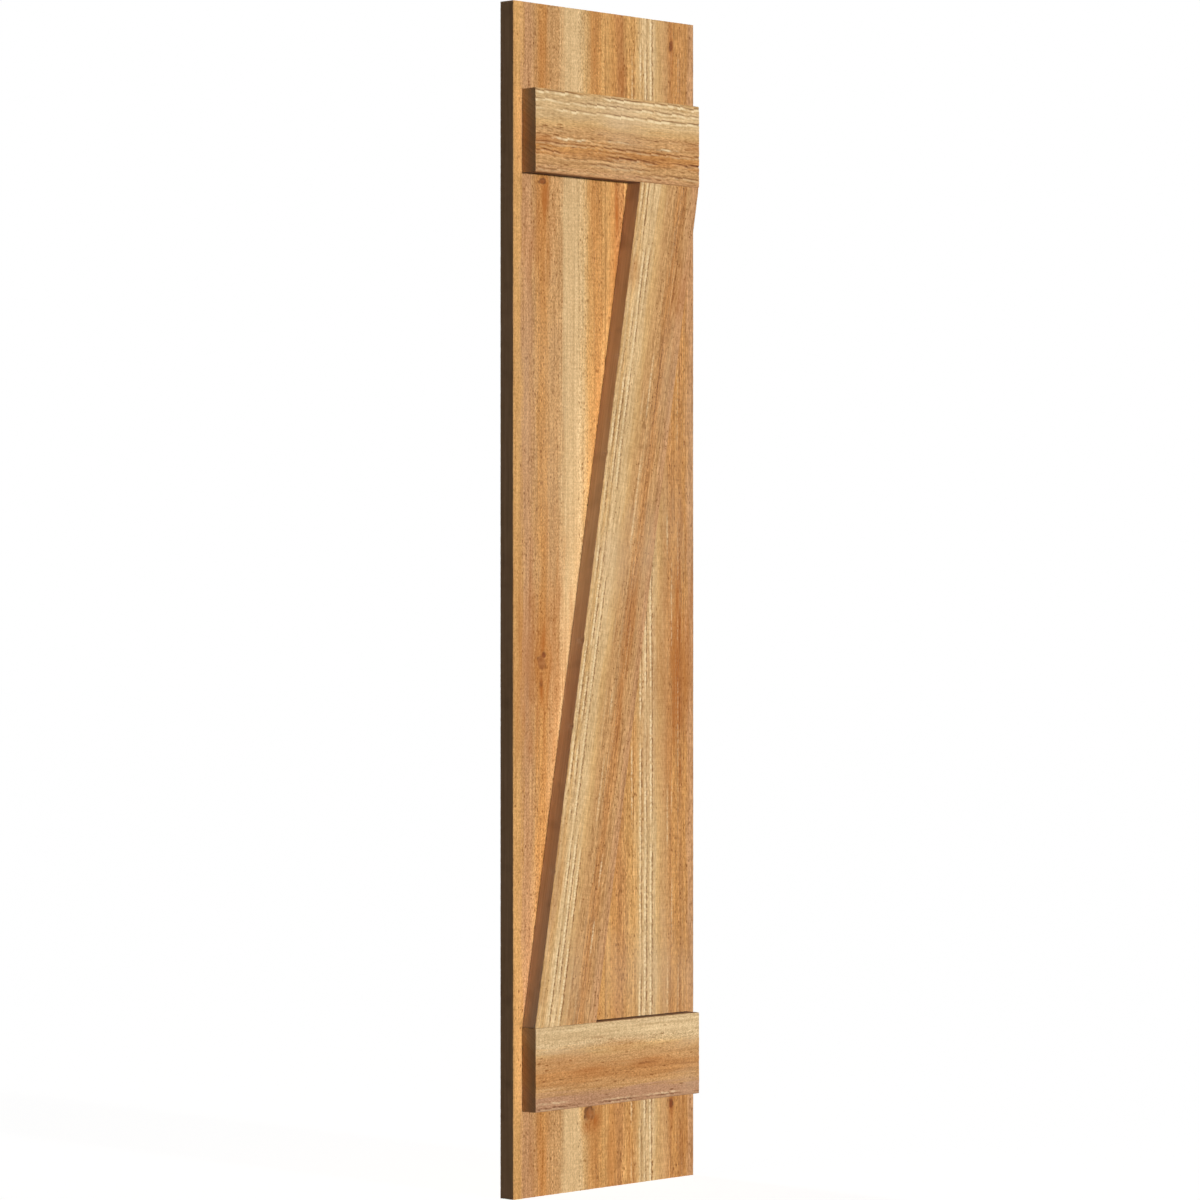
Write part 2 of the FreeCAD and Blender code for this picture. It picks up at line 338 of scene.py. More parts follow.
BRACE = Figure(
    bands=[
        (0, STRAW), (3, CREAM), (9, STRAW), (15, CREAM), (28, CREAM), (36, STRAW), (46, TAN), (55, TAN),
        (62, BROWN), (68, BROWN), (75, TAN), (84, ROSE), (89, ROSE),
    ],
    sway=STEADY_SWAY,
    torn=[
        *torn_set((7, 14, 21.6), 1.0, 0.8, 0.85, -235, 300),
        *torn_set((20.5, 27.8, 36), 1.0, 0.8, 0.85, -445, -250),
        *torn_set((20.5, 27.8, 35), 0.9, 0.7, 0.8, 300, 370),
        *torn_set((7, 14, 21.6), 0.8, 0.6, 0.7, 375, 445),
        Torn(46, 0.4, 0.3, 0.4),
        Torn(54.5, 0.1, 0.5, 0.35, -235, 300),
        Torn(70, 0.1, 0.6, 0.4, -400, -250),
        Torn(63.5, 0.6, 0.2, 0.8),
        *ripples(57, 3.1, 5, 0.4),
    ],
    lip_offset=-3.0,
    wobble=0.35,
    dash=3.4,
    faintest=0.15,
    fibre=6.0,
    streaks=0.27,
    flecks=[(0, 30, 0.3), (30, 46, 0.15), (46, 89, 0.6)],
    knots=[],
    rust=[
        Patch(64, -25, 9, 40, 0.4), Patch(66, -120, 6, 45, 0.35), Patch(78, 330, 9, 40, 0.5),
        Patch(6, 345, 7, 18, 0.5), Patch(5, -320, 6, 60, 0.4),
    ],
    ash=[
        Patch(15, 42, 14, 22, 0.7), Patch(40, 40, 16, 45, 0.7), Patch(76, 55, 12, 45, 0.7),
        Patch(45, -390, 18, 45, 0.5), Patch(74, 240, 12, 50, 0.5),
    ],
    seed=53,
)

# Which random pattern a shape draws from, counted on from the plank's seed. Torn lines have one each.
SWAY_SEED = 1
FUZZ_SEED, RIDGE_SEED, SAW_SEED, HOLLOW_SEED = 2, 3, 4, 5
KNOT_SEED, ARC_SEED = 7, 8
RUST_SEED, ASH_SEED = 9, 10
EDGE_SEED = 60
STROKE_SEED, PRESENCE_SEED = 100, 180

# The grain: long waves, the width of the shorter ones, and its bow around a knot, in the knot's half sizes.
LONG_WAVE = 0.9
LONG_WAVE_CELL = (60, 170)
SWAY_WIDTH = 14
BOW = 0.75
BOW_WIDTH = 2.2
BOW_LENGTH = 2.6
# How far the grain shifts sideways for each millimetre into the plank.
GRAIN_SLOPE = 0.7
# How deep the front's marks go. They fade out over as much again.
MARK_DEPTH = 2 * MM

# Torn lines: strokes and their drift, in dashes, and widths, gaps and soft ends, in millimetres.
STROKE_LENGTH = 1.6
STROKE_DRIFT = 4
TORN_WIDTH = 1.0
LIP_WIDTH = 1.2
PRESENCE_LENGTH = 35
TORN_END = 30
FLECK_BORDER = 3

# Patches: how ragged they are, and the size of their rags in millimetres.
RAGGEDNESS = 0.5
RAG_CELL = (5, 30)

# Knots: an uneven outline, a heart with a soft border, a rim broken into arcs, and a trail of red.
KNOT_UNEVENNESS = 0.25
KNOT_CELL = (2.5, 3)
HEART_EDGE = 1.15
HEART_BORDER = 0.4
ARC_SHARE = 0.45
ARC_CONTRAST = 1.1
ARC_SIZE = 4.5
RIM_WIDTH = 0.28
TRAIL_WIDTH = 1.2
TRAIL_LENGTH = 4

# Relief: the size of its cells and its depths, in millimetres.
FUZZ_CELL, FUZZ_DEPTH = (1.9, 6), 0.22
RIDGE_CELL, RIDGE_DEPTH = (3.1, 160), 0.25
HOLLOW_CELL, HOLLOW_DEPTH = (40, 150), 0.15
SAW_PITCH, SAW_SLANT, SAW_LENGTH, SAW_DEPTH = 3.4, 60, 45, 0.10
TORN_DEPTH = 0.7
RIM_DEPTH = 0.4
EASED_WIDTH, EASED_DEPTH = 1.0, 0.8

# Edges: the length of their waves, in millimetres, how often these change from front to back, and how far
# the edges are set in, in millimetres. A chip's length is counted in its depths, and it fades out by a row.
EDGE_WAVE = 2.2
EDGE_DRIFT = 5
EDGE_INSET = 0.12
EDGE_ROUGHNESS = 0.10
CHIP_LENGTH = 1.4
CHIP_ROWS = 2


# Noise for the shapes.
LATTICE = 256


def noise(x, y, seed):
    """Smooth random values from -1 to 1, one lattice cell a unit."""
    table = np.random.default_rng(seed).uniform(-1, 1, (LATTICE, LATTICE))
    column, row = np.floor(x).astype(int), np.floor(y).astype(int)
    fx, fy = x - column, y - row
    fx, fy = fx * fx * (3 - 2 * fx), fy * fy * (3 - 2 * fy)
    left, right = column % LATTICE, (column + 1) % LATTICE
    low, high = row % LATTICE, (row + 1) % LATTICE
    bottom = table[low, left] * (1 - fx) + table[low, right] * fx
    top = table[high, left] * (1 - fx) + table[high, right] * fx
    return bottom * (1 - fy) + top * fy


def unit_noise(x, y, seed):
    """The same from 0 to 1."""
    return 0.5 + 0.5 * noise(x, y, seed)


def bump(x):
    """A smooth hump that is 1 at 0 and fades out past 1."""
    return np.exp(-np.square(x))


def between(value, low, high, border):
    """1 from low to high and 0 outside, with soft borders."""
    return np.clip((value - low) / border + 0.5, 0, 1) * np.clip((high - value) / border + 0.5, 0, 1)


# The plank's figure and relief.
def wander(across, along, figure):
    """How far the grain strays sideways, in millimetres: long waves, shorter ones, and bows around knots."""
    wave_width, wave_length = LONG_WAVE_CELL
    stray = LONG_WAVE * noise(along / wave_length, across / wave_width, figure.seed)
    sway = noise(along / figure.sway.length, across / SWAY_WIDTH, figure.seed + SWAY_SEED)
    stray = stray + figure.sway.reach * sway
    for knot in figure.knots:
        aside = across - knot.across
        reach = np.square(aside / (BOW_WIDTH * knot.half_width))
        reach = reach + np.square((along - knot.along) / (BOW_LENGTH * knot.half_length))
        stray = stray - BOW * aside * np.exp(-reach)
    return stray


def torn_grain(grain, along, figure):
    """Darkness, partly painted shadow, and painted highlight of the torn lines, from 0 to 1. A line is a row
    of short slanting strokes.
    """
    torn = np.zeros_like(grain)
    lip = np.zeros_like(grain)
    flat = np.zeros_like(along)
    for number, line in enumerate(figure.torn):
        seed = figure.seed + number
        drift = noise(along / (STROKE_DRIFT * figure.dash), flat, seed + STROKE_SEED)
        stroke = along / (STROKE_LENGTH * figure.dash) + drift
        offset = grain - line.place - figure.wobble * (2 * (stroke % 1) - 1)
        presence = np.clip(line.steady + noise(along / PRESENCE_LENGTH, flat, seed + PRESENCE_SEED), 0, 1)
        presence = presence * between(along, line.low, line.high, TORN_END)
        torn = np.maximum(torn, line.dark * presence * bump(offset / TORN_WIDTH))
        # Beside each line a pale band: a painted highlight.
        lip = np.maximum(lip, line.pale * presence * bump((offset - figure.lip_offset) / LIP_WIDTH))
    return torn, lip


def patches(spots, across, along, seed):
    """Soft ragged clouds, from 0 to 1."""
    cover = np.zeros_like(across)
    ragged = 1 + RAGGEDNESS * noise(across / RAG_CELL[0], along / RAG_CELL[1], seed)
    for spot in spots:
        aside = (across - spot.across) / spot.half_width
        above = (along - spot.along) / spot.half_length
        cover = np.maximum(cover, spot.strength * bump(np.hypot(aside, above) * ragged))
    return cover


def knot_marks(across, along, figure):
    """Heart, dark rim and red halo of the knots, from 0 to 1."""
    heart = np.zeros_like(across)
    rim = np.zeros_like(across)
    halo = np.zeros_like(across)
    broken = noise(across / ARC_SIZE, along / ARC_SIZE, figure.seed + ARC_SEED)
    arcs = np.clip(ARC_SHARE + ARC_CONTRAST * broken, 0, 1)
    uneven = noise(across / KNOT_CELL[0], along / KNOT_CELL[1], figure.seed + KNOT_SEED)
    for knot in figure.knots:
        aside = across - knot.across
        above = along - knot.along
        reach = np.hypot(aside / knot.half_width, above / knot.half_length)
        reach = reach * (1 + KNOT_UNEVENNESS * uneven)
        heart = np.maximum(heart, knot.darkness * np.clip((HEART_EDGE - reach) / HEART_BORDER, 0, 1))
        rim = np.maximum(rim, arcs * bump((reach - 1) / RIM_WIDTH))
        trail = np.exp(-np.abs(above) / (TRAIL_LENGTH * knot.half_length))
        trail = bump(aside / (TRAIL_WIDTH * knot.half_width)) * trail
        halo = np.maximum(halo, knot.redness * trail)
    return heart, rim, halo


def fleck_zone(grain, figure):
    """How many flecks there are, from 0 to 1."""
    density = np.zeros_like(grain)
    for start, end, amount in figure.flecks:
        density = np.maximum(density, amount * between(grain, start, end, FLECK_BORDER))
    return density


def relief(marks, from_edge, plank):
    """How deep the sawn face lies below the plank's full size, in millimetres. Never negative."""
    seed = plank.figure.seed
    across, along, grain = from_edge / MM, marks["along"], marks["grain"]
    fuzz = unit_noise(across / FUZZ_CELL[0], along / FUZZ_CELL[1], seed + FUZZ_SEED)
    ridges = unit_noise(grain / RIDGE_CELL[0], along / RIDGE_CELL[1], seed + RIDGE_SEED)
    saw = unit_noise(along / SAW_PITCH + across / SAW_SLANT, across / SAW_LENGTH, seed + SAW_SEED)
    hollow = unit_noise(across / HOLLOW_CELL[0], along / HOLLOW_CELL[1], seed + HOLLOW_SEED)
    eased = np.clip(1 - np.minimum(across, plank.width / MM - across) / EASED_WIDTH, 0, 1)
    worn = FUZZ_DEPTH * fuzz + RIDGE_DEPTH * ridges + SAW_DEPTH * saw + HOLLOW_DEPTH * hollow
    return worn + TORN_DEPTH * marks["torn"] + RIM_DEPTH * marks["rim"] + EASED_DEPTH * eased


def figure_of(plank, s, t, depth):
    """Everything that the material and the relief need to know at points of the plank, in millimetres.

    Marks from 0 to 1 belong to the front. The sides and the back have straight, even grain.
    """
    figure = plank.figure
    across = (s + plank.width / 2) / MM
    along = t / MM
    front = np.clip(2 - depth / MARK_DEPTH, 0, 1)
    grain = across + wander(across, along, figure) * front + GRAIN_SLOPE * depth / MM
    torn, lip = torn_grain(grain, along, figure)
    heart, rim, halo = knot_marks(across, along, figure)
    rust = np.maximum(halo, patches(figure.rust, across, along, figure.seed + RUST_SEED))
    ash = patches(figure.ash, across, along, figure.seed + ASH_SEED)
    marks = {"torn": torn, "lip": lip, "heart": heart, "rim": rim, "rust": rust, "ash": ash}
    places = {"along": along, "depth": depth / MM, "grain": grain, "fleck": fleck_zone(grain, figure)}
    return places | {name: mark * front for name, mark in marks.items()}


# Planks.
# A plank is placed by the middle of its front face and by unit vectors across and along its grain.
# Its ends may slope, a board has screw holes in its back, and an edge may be chipped.
Plank = namedtuple(
    "Plank",
    "node middle across along width length thickness figure cell end_slope screws chips",
    defaults=(0.0, (), ()),
)
# The outline of a plank's front: point numbers, the side that each step runs along, and for each point its
# place and its inward direction.
Rim = namedtuple("Rim", "numbers side s t d inward_s inward_t")
INTO_PLANK = (0, 1, 0)
FRONT, BACK, LEFT, RIGHT, LOW_END, HIGH_END = range(6)
FACE_SLOT, EDGE_SLOT, END_SLOT = range(3)
SLOT_OF_SIDE = np.array([FACE_SLOT, FACE_SLOT, EDGE_SLOT, EDGE_SLOT, END_SLOT, END_SLOT], np.int32)

# For filling the back with triangles: only inside its outline, and without the ones over a hole.
INSIDE_ONLY = 1
MERGE_DISTANCE = 1e-9
HOLE_SHARE = 0.97

# The map for baking, as shares of its width and height: two faces, two strips for the long edges beside
# them, and the ends along the top.
MAP_FACE_WIDTH = 0.44
MAP_SECOND_FACE = 0.45
MAP_LEFT_STRIP = 0.90
MAP_RIGHT_STRIP = 0.955
MAP_STRIP_WIDTH = 0.045
MAP_FACE_HEIGHT = 0.96
MAP_ENDS = 0.97
MAP_END_HEIGHT = 0.03


class PlankSolid:
    """Points and faces of a plank. A point is its place across, along and below the front, in metres."""

    def __init__(self):
        self.points = np.empty((0, 3))
        self.faces = []
        self.sides = []

    def add_points(self, s, t, d):
        """Keeps points and gives back their numbers."""
        first = len(self.points)
        self.points = np.concatenate([self.points, np.stack([s.ravel(), t.ravel(), d.ravel()], -1)])
        return np.arange(first, len(self.points))

    def add_faces(self, corners, side):
        """Keeps faces and the side or sides that they belong to."""
        self.faces += corners.tolist()
        self.sides.append(np.broadcast_to(side, len(corners)))

    def add_strip(self, near, far, side):
        """Quads between two closed loops of points."""
        self.add_faces(np.stack([near, far, np.roll(far, -1), np.roll(near, -1)], -1), side)


def row_heights(plank):
    """Where the rows of points lie along the grain: evenly, and closer at knots."""
    rows = round(plank.length / plank.cell[1])
    heights = np.linspace(-0.5, 0.5, rows + 1) * plank.length
    for knot in plank.figure.knots:
        low, high = knot.along * MM - KNOT_REACH, knot.along * MM + KNOT_REACH
        outside = heights[(heights < low) | (heights > high)]
        heights = np.sort(np.concatenate([outside, np.arange(low, high, KNOT_ROW_STEP)]))
    return heights


def front_grid(plank):
    """Coordinates of the front face's grid, in metres, a row for each step along the grain."""
    columns = round(plank.width / plank.cell[0])
    places = np.linspace(-0.5, 0.5, columns + 1) * plank.width
    s, height = np.meshgrid(places, row_heights(plank))
    return s, height + s * plank.end_slope


def rim_of(s, t, d):
    """The front's outline, counter-clockwise."""
    index = np.arange(s.size).reshape(s.shape)
    walk = [index[0, :-1], index[:-1, -1], index[-1, :0:-1], index[:0:-1, 0]]
    names = (LOW_END, RIGHT, HIGH_END, LEFT)
    side = np.concatenate([np.full(len(steps), name) for steps, name in zip(walk, names)])
    inward_s, inward_t = np.zeros_like(s), np.zeros_like(t)
    inward_s[:, 0], inward_s[:, -1] = 1, -1
    inward_t[0], inward_t[-1] = 1, -1
    numbers = np.concatenate(walk)
    return Rim(numbers, side, *(part.ravel()[numbers] for part in (s, t, d, inward_s, inward_t)))


def nicks(plank, rim):
    """How far the chipped left edge is set in, in metres."""
    depth = np.zeros_like(rim.t)
    for place, size in plank.chips:
        depth = np.maximum(depth, size * bump((rim.t / MM - place) / (CHIP_LENGTH * size)))
    return depth * MM * (rim.side == LEFT)


def outline_at(plank, rim, row):
    """The plank's outline at one row of points down its sides, set in a little by the saw and by chips."""
    share = row / SIDE_ROWS
    place = (rim.t - rim.s) / MM / EDGE_WAVE
    wave = noise(place, np.full_like(rim.t, share * EDGE_DRIFT), plank.figure.seed + EDGE_SEED)
    inset = (EDGE_INSET + EDGE_ROUGHNESS * wave) * MM
    s = rim.s + rim.inward_s * inset + nicks(plank, rim) * max(0, 1 - row / CHIP_ROWS)
    t = rim.t + rim.inward_t * inset
    d = rim.d + (plank.thickness - rim.d) * share
    return s, t, d


def add_front(solid, plank):
    """The sawn face. Gives back its outline."""
    s, t = front_grid(plank)
    d = relief(figure_of(plank, s, t, np.zeros_like(s)), s + plank.width / 2, plank) * MM
    rim = rim_of(s, t, d)
    numbers = solid.add_points(s, t, d).reshape(s.shape)
    quads = np.stack([numbers[:-1, :-1], numbers[:-1, 1:], numbers[1:, 1:], numbers[1:, :-1]], -1)
    solid.add_faces(quads.reshape(-1, 4), FRONT)
    solid.points[rim.numbers] = np.stack(outline_at(plank, rim, 0), -1)
    return rim


def add_sides(solid, plank, rim):
    """Rows of points from the front's outline to the back's. Gives back the last row."""
    near = rim.numbers
    for row in range(1, SIDE_ROWS + 1):
        far = solid.add_points(*outline_at(plank, rim, row))
        solid.add_strip(near, far, rim.side)
        near = far
    return near


def add_hole(solid, plank, centre):
    """A countersunk screw hole in the back. Gives back the points around its mouth."""
    turn = np.arange(HOLE_SIDES) * 2 * math.pi / HOLE_SIDES
    floor = plank.thickness - NECK_DEPTH
    rings = []
    for radius, depth in ((COUNTERSINK_RADIUS, plank.thickness), (NECK_RADIUS, floor)):
        s, t = centre[0] + radius * np.cos(turn), centre[1] + radius * np.sin(turn)
        rings.append(solid.add_points(s, t, np.full(HOLE_SIDES, depth)))
    mouth, neck = rings
    solid.add_strip(mouth, neck, BACK)
    middle = solid.add_points(*(np.array([value]) for value in (*centre, floor)))
    solid.add_faces(np.stack([np.repeat(middle, HOLE_SIDES), np.roll(neck, -1), neck], -1), BACK)
    return mouth


def loop_edges(loops):
    """The edges of closed loops whose points are counted on from one loop to the next."""
    edges = []
    start = 0
    for loop in loops:
        edges += [(start + k, start + (k + 1) % len(loop)) for k in range(len(loop))]
        start += len(loop)
    return edges


def add_back(solid, plank, last):
    """The flat back, in triangles around the screw holes."""
    loops = [last] + [add_hole(solid, plank, centre) for centre in plank.screws]
    numbers = np.concatenate(loops)
    places = [Vector(point) for point in solid.points[numbers, :2]]
    filled = delaunay_2d_cdt(places, loop_edges(loops), [], INSIDE_ONLY, MERGE_DISTANCE)
    _, _, faces, origins, _, _ = filled
    flat = np.array([[numbers[origins[corner][0]] for corner in face] for face in faces])
    for centre in plank.screws:
        middle = solid.points[flat, :2].mean(1)
        flat = flat[np.hypot(*(middle - centre).T) > COUNTERSINK_RADIUS * HOLE_SHARE]
    solid.add_faces(flat[:, ::-1], BACK)


def mark_sharp(mesh, loops):
    """The edges around the front and the back are sharp, and the sawn faces are smooth."""
    ends = np.empty(len(mesh.edges) * 2, np.int32)
    mesh.edges.foreach_get("vertices", ends)
    ends = ends.reshape(-1, 2)
    sharp = np.zeros(len(ends), bool)
    for loop in loops:
        on_loop = np.zeros(len(mesh.vertices), bool)
        on_loop[loop] = True
        sharp |= on_loop[ends].all(1)
    mesh.attributes.new("sharp_edge", "BOOLEAN", "EDGE").data.foreach_set("value", sharp)


def lay_out(mesh, plank, solid, side):
    """A map for baking: the faces of the plank side by side, with the ends along the top."""
    corner = np.empty(len(mesh.loops), np.int32)
    mesh.loops.foreach_get("vertex_index", corner)
    total = np.empty(len(mesh.polygons), np.int32)
    mesh.polygons.foreach_get("loop_total", total)
    face = np.repeat(side, total)
    s, t, d = solid.points[corner].T
    first = MAP_FACE_WIDTH * (s / plank.width + 0.5)
    second = MAP_SECOND_FACE + first
    deep = d / plank.thickness
    strip = MAP_STRIP_WIDTH * deep
    u = np.choose(face, [first, second, MAP_LEFT_STRIP + strip, MAP_RIGHT_STRIP + strip, first, second])
    high = MAP_FACE_HEIGHT * ((t - s * plank.end_slope) / plank.length + 0.5)
    v = np.where(face >= LOW_END, MAP_ENDS + MAP_END_HEIGHT * deep, high)
    layer = mesh.uv_layers.new(name="OFBake")
    layer.data.foreach_set("uv", np.stack([u, v], -1).ravel().astype(np.float32))


def finish_plank(plank, solid, sharp_loops):
    """The Blender object of a plank: vertices, faces, sharp edges, figure and a map for baking."""
    s, t, d = solid.points.T
    middle, across, along = (np.array(v) for v in (plank.middle, plank.across, plank.along))
    places = middle + np.outer(s, across) + np.outer(t, along) + np.outer(d, INTO_PLANK)
    mesh = bpy.data.meshes.new(f"{plank.node}_sawn")
    mesh.from_pydata(places.tolist(), [], solid.faces)
    side = np.concatenate(solid.sides)
    mesh.polygons.foreach_set("use_smooth", side != BACK)
    mesh.polygons.foreach_set("material_index", SLOT_OF_SIDE[side])
    mark_sharp(mesh, sharp_loops)
    for name, values in figure_of(plank, s, t, d).items():
        mesh.attributes.new(name, "FLOAT", "POINT").data.foreach_set("value", values.astype(np.float32))
    lay_out(mesh, plank, solid, side)
    piece = bpy.data.objects.new(f"{plank.node}_sawn", mesh)
    bpy.context.scene.collection.objects.link(piece)
    return piece


def build_plank(plank):
    """The closed mesh of one plank."""
    solid = PlankSolid()
    rim = add_front(solid, plank)
    last = add_sides(solid, plank, rim)
    add_back(solid, plank, last)
    return finish_plank(plank, solid, (rim.numbers, last))


# Materials.
# Where most values of a noise pattern lie.
NOISE_RANGE = (0.25, 0.75)
# A fleck's solid middle and its outer end, in cells, and how gently flecks come in with their chance.
FLECK_RADII = (0.28, 0.48)
FLECK_FADE = 0.2
# Raised fibres shine a little more than hollows.
HEIGHT_RANGE = (0.3, 0.7)
WOOD_ROUGHNESS = (0.82, 0.65)
WOOD_SPECULAR = 0.3
BUMP_STRENGTH = 0.6
# How deep the finest grain is, in metres.
FACE_GRAIN_DEPTH = 0.0005
EDGE_GRAIN_DEPTH = 0.0003
END_GRAIN_DEPTH = 0.0004


class Graph:
    """Short calls for building a material's nodes."""

    def __init__(self, name):
        self.material = bpy.data.materials.new(name)
        self.material.use_nodes = True
        self.tree = self.material.node_tree
        self.shader = self.tree.nodes["Principled BSDF"]

    def node(self, kind, inputs=(), **settings):
        """A node with its settings, and its inputs given as values or as other nodes' outputs."""
        made = self.tree.nodes.new(kind)
        for name, value in settings.items():
            setattr(made, name, value)
        for key, value in dict(inputs).items():
            self.feed(made.inputs[key], value)
        return made

    def feed(self, socket, value):
        """Sets an input to a value, or links it to another node's output."""
        if isinstance(value, bpy.types.NodeSocket):
            self.tree.links.new(value, socket)
        else:
            socket.default_value = value

    def attribute(self, name):
        """A value that the mesh carries."""
        return self.node("ShaderNodeAttribute", attribute_name=name).outputs["Fac"]

    def math(self, operation, a, b=0.0, c=0.0):
        """Arithmetic on values."""
        return self.node("ShaderNodeMath", {0: a, 1: b, 2: c}, operation=operation).outputs[0]

    def spread(self, value, low, high, to_low, to_high):
        """A value carried from one range to another, and held inside it."""
        inputs = {"Value": value, "From Min": low, "From Max": high, "To Min": to_low, "To Max": to_high}
        return self.node("ShaderNodeMapRange", inputs).outputs[0]

    def mean(self, a, b):
        """Halfway between two values."""
        return self.math("MULTIPLY_ADD", a, 0.5, self.math("MULTIPLY", b, 0.5))

    def mix(self, factor, a, b, blend="MIX"):
        """Two colours blended."""
        made = self.node("ShaderNodeMix", data_type="RGBA", blend_type=blend)
        for key, value in ((0, factor), (6, a), (7, b)):
            self.feed(made.inputs[key], value)
        return made.outputs[2]

    def ramp(self, factor, stops):
        """Colours along a value from 0 to 1, with stops as (place, colour)."""
        made = self.node("ShaderNodeValToRGB", {"Fac": factor})
        elements = made.color_ramp.elements
        while len(elements) < len(stops):
            elements.new(0.5)
        for element, (place, colour) in zip(elements, stops):
            element.position = place
            element.color = colour
        return made.outputs["Color"]


class WoodGraph(Graph):
    """A material's nodes, with the plank's own coordinates at hand, in millimetres."""

    def __init__(self, name, figure):
        super().__init__(name)
        self.figure = figure
        self.grain, self.along, self.depth = (self.attribute(part) for part in ("grain", "along", "depth"))

    def cells(self, across, along, through):
        """The place in the plank, counted in cells of this many millimetres."""
        places = zip((self.grain, self.along, self.depth), (across, along, through))
        parts = {axis: self.math("DIVIDE", place, size) for axis, (place, size) in enumerate(places)}
        return self.node("ShaderNodeCombineXYZ", parts).outputs[0]

    def pattern(self, across, along, shift, detail=1.0, through=None):
        """Noise in cells of this many millimetres across and along the grain, and through the plank.

        Another shift draws another pattern.
        """
        point = self.cells(across, along, through or across)
        inputs = {"Vector": point, "W": float(self.figure.seed + shift), "Scale": 1.0, "Detail": detail}
        return self.node("ShaderNodeTexNoise", inputs, noise_dimensions="4D").outputs["Fac"]

    def dots(self, across, along, chance):
        """Flecks, at most one to a cell of this many millimetres, shown where the chance allows."""
        inputs = {"Vector": self.cells(across, along, across), "W": float(self.figure.seed), "Scale": 1.0}
        found = self.node("ShaderNodeTexVoronoi", inputs, voronoi_dimensions="4D")
        draw = self.node("ShaderNodeSeparateColor", {"Color": found.outputs["Color"]}).outputs["Red"]
        shown = self.spread(self.math("SUBTRACT", chance, draw), 0.0, FLECK_FADE, 0.0, 1.0)
        return self.math("MULTIPLY", self.spread(found.outputs["Distance"], *FLECK_RADII, 1.0, 0.0), shown)

    def bands(self, *strays):
        """The broad bands of colour, feathered by patterns that stray this many millimetres sideways."""
        first, last = self.figure.bands[0][0], self.figure.bands[-1][0]
        place = self.grain
        for pattern, reach in strays:
            place = self.math("ADD", place, self.spread(pattern, *NOISE_RANGE, -reach, reach))
        stops = [((mm - first) / (last - first), tone) for mm, tone in self.figure.bands]
        return self.ramp(self.spread(place, first, last, 0.0, 1.0), stops)

    def shade(self, colour, pattern, amount, weight=1.0):
        """The colour darker and redder where the pattern is low, paler where it is high, even on average."""
        share = self.math("MULTIPLY_ADD", self.spread(pattern, *NOISE_RANGE, -0.5, 0.5), weight, 0.5)
        dark = [1 - amount * pull for pull in SHADE_PULL]
        light = [1 + amount * pull for pull in SHADE_PULL]
        return self.mix(1.0, colour, self.mix(share, (*dark, 1.0), (*light, 1.0)), "MULTIPLY")

    def stain(self, colour, mark, strength, tone, blend="MIX", limits=(0.0, 1.0)):
        """The colour covered or multiplied by a tone where the plank carries a mark.

        Close limits make the mark crisp.
        """
        cover = self.spread(self.attribute(mark), *limits, 0.0, 1.0)
        return self.mix(self.math("MULTIPLY", cover, strength), colour, tone, blend)

    def finish(self, colour, height, depth):
        """Joins colour and surface to the shader."""
        self.feed(self.shader.inputs["Base Color"], colour)
        self.feed(self.shader.inputs["Roughness"], self.spread(height, *HEIGHT_RANGE, *WOOD_ROUGHNESS))
        self.shader.inputs["Specular IOR Level"].default_value = WOOD_SPECULAR
        inputs = {"Strength": BUMP_STRENGTH, "Distance": depth, "Height": height}
        self.feed(self.shader.inputs["Normal"], self.node("ShaderNodeBump", inputs).outputs[0])
        return self.material


def sawn_colour(g, streaks, fibre):
    """Bands of colour with clouds, streaks, fibres and saw marks."""
    flecked = g.attribute("fleck")
    feather = g.pattern(across=9, along=70, shift=1, detail=2.0)
    clouds = g.pattern(across=40, along=140, shift=7)
    stripes = g.pattern(across=3.6, along=130, shift=3)
    saw_marks = g.pattern(across=20, along=1.6, shift=11)
    colour = g.bands((feather, 4.0), (streaks, 3.5))
    colour = g.shade(colour, clouds, amount=0.08)
    colour = g.shade(colour, stripes, amount=0.14)
    colour = g.shade(colour, streaks, g.figure.streaks, weight=g.spread(flecked, 0.1, 0.6, 0.25, 1.0))
    colour = g.shade(colour, fibre, amount=0.46, weight=g.spread(flecked, 0.0, 0.8, 0.5, 1.0))
    return g.shade(colour, saw_marks, amount=0.09)


def add_flecks(g, colour):
    """Short dark flecks that come in crowds."""
    crowds = g.spread(g.pattern(across=5, along=32, shift=15), 0.35, 0.6, 0.15, 1.0)
    chance = g.math("MULTIPLY", crowds, g.attribute("fleck"))
    dots = g.dots(across=2.6, along=0.85 * g.figure.dash, chance=chance)
    return g.mix(dots, colour, g.mix(1.0, colour, FLECK_SHADE, "MULTIPLY"))


def add_marks(g, colour, streaks):
    """Patches of ash and rust colour, torn lines darkened by torn fibre and painted shadow with a painted
    highlight beside each, and knots.
    """
    colour = g.stain(colour, "ash", strength=0.45, tone=ASH)
    colour = g.stain(colour, "rust", g.spread(streaks, 0.3, 0.7, 1.0, 0.75), RUST)
    # Torn lines darken with torn fibre and with a painted shadow of their step.
    dashes = g.pattern(across=9, along=g.figure.dash, shift=17)
    dashes = g.spread(dashes, 0.38, 0.54, g.figure.faintest, 1.0)
    colour = g.stain(colour, "torn", dashes, TORN_SHADE, "MULTIPLY", CRISP)
    # A painted highlight beside each torn line.
    highlight_dashes = g.spread(g.pattern(across=9, along=0.6 * g.figure.dash, shift=19), 0.38, 0.58, 0.2, 0.9)
    colour = g.stain(colour, "lip", highlight_dashes, PAINTED_LIP_HIGHLIGHT, limits=CRISP)
    colour = g.stain(colour, "heart", strength=0.85, tone=KNOT_HEART)
    return g.stain(colour, "rim", strength=0.9, tone=UMBER)


